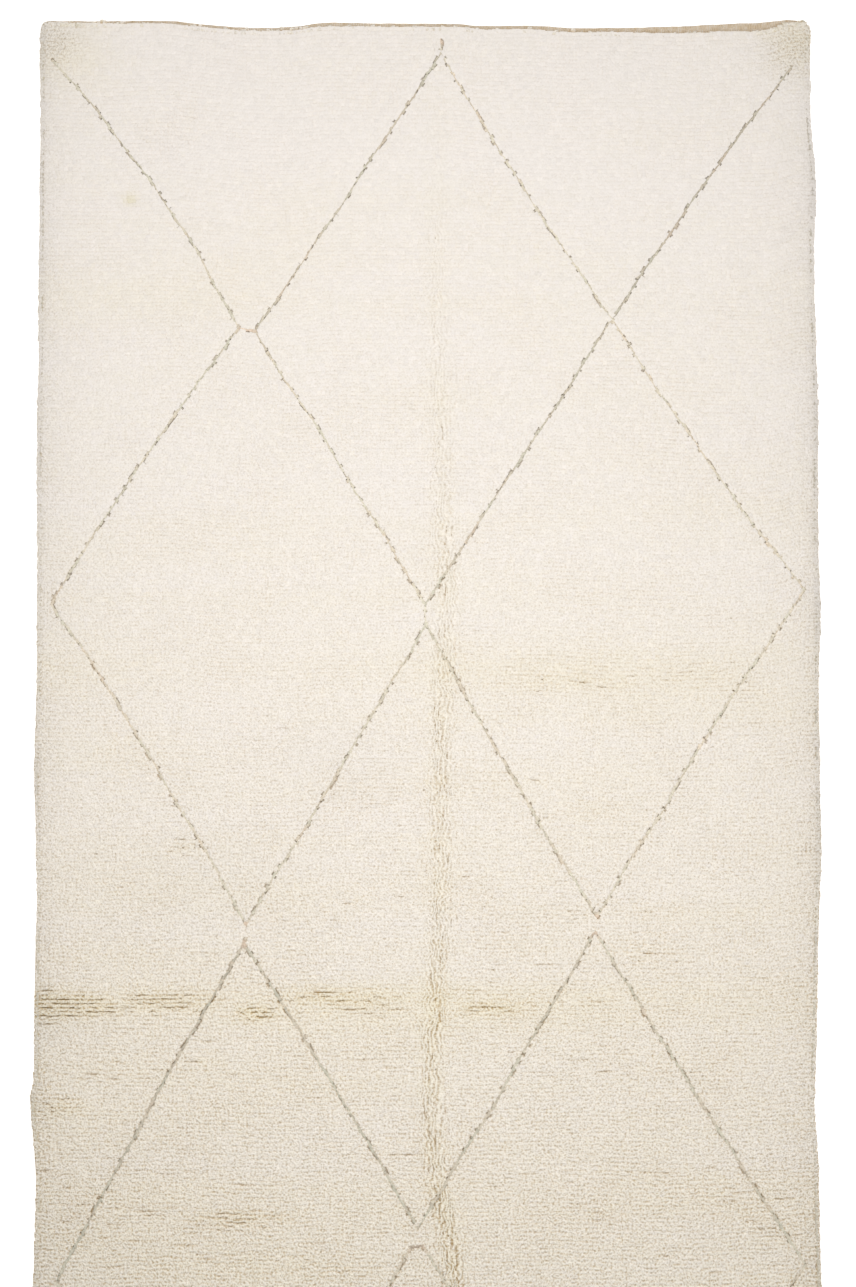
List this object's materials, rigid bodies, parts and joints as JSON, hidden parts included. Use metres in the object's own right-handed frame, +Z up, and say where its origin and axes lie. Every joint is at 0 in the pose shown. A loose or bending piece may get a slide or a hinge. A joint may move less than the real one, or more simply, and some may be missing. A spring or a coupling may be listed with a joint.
{
  "type": "beni ourain rug",
  "caption": "Hand-knotted cream wool pile rug with a sunk sage diamond lattice and a narrow flat-woven band at each end, lying flat on a floor.",
  "frame": {"origin": "on the floor under the middle of the rug", "axes": "+Y along the rug to the end with the wider woven band, +X across it, +Z up through the pile"},
  "size_m": [1.6048, 3.2174, 0.0192],
  "materials": {
    "wool_pile": "matte undyed wool pile"
  },
  "bodies": {
    "root": {"rug": "wool_pile"}
  },
  "joints": []
}
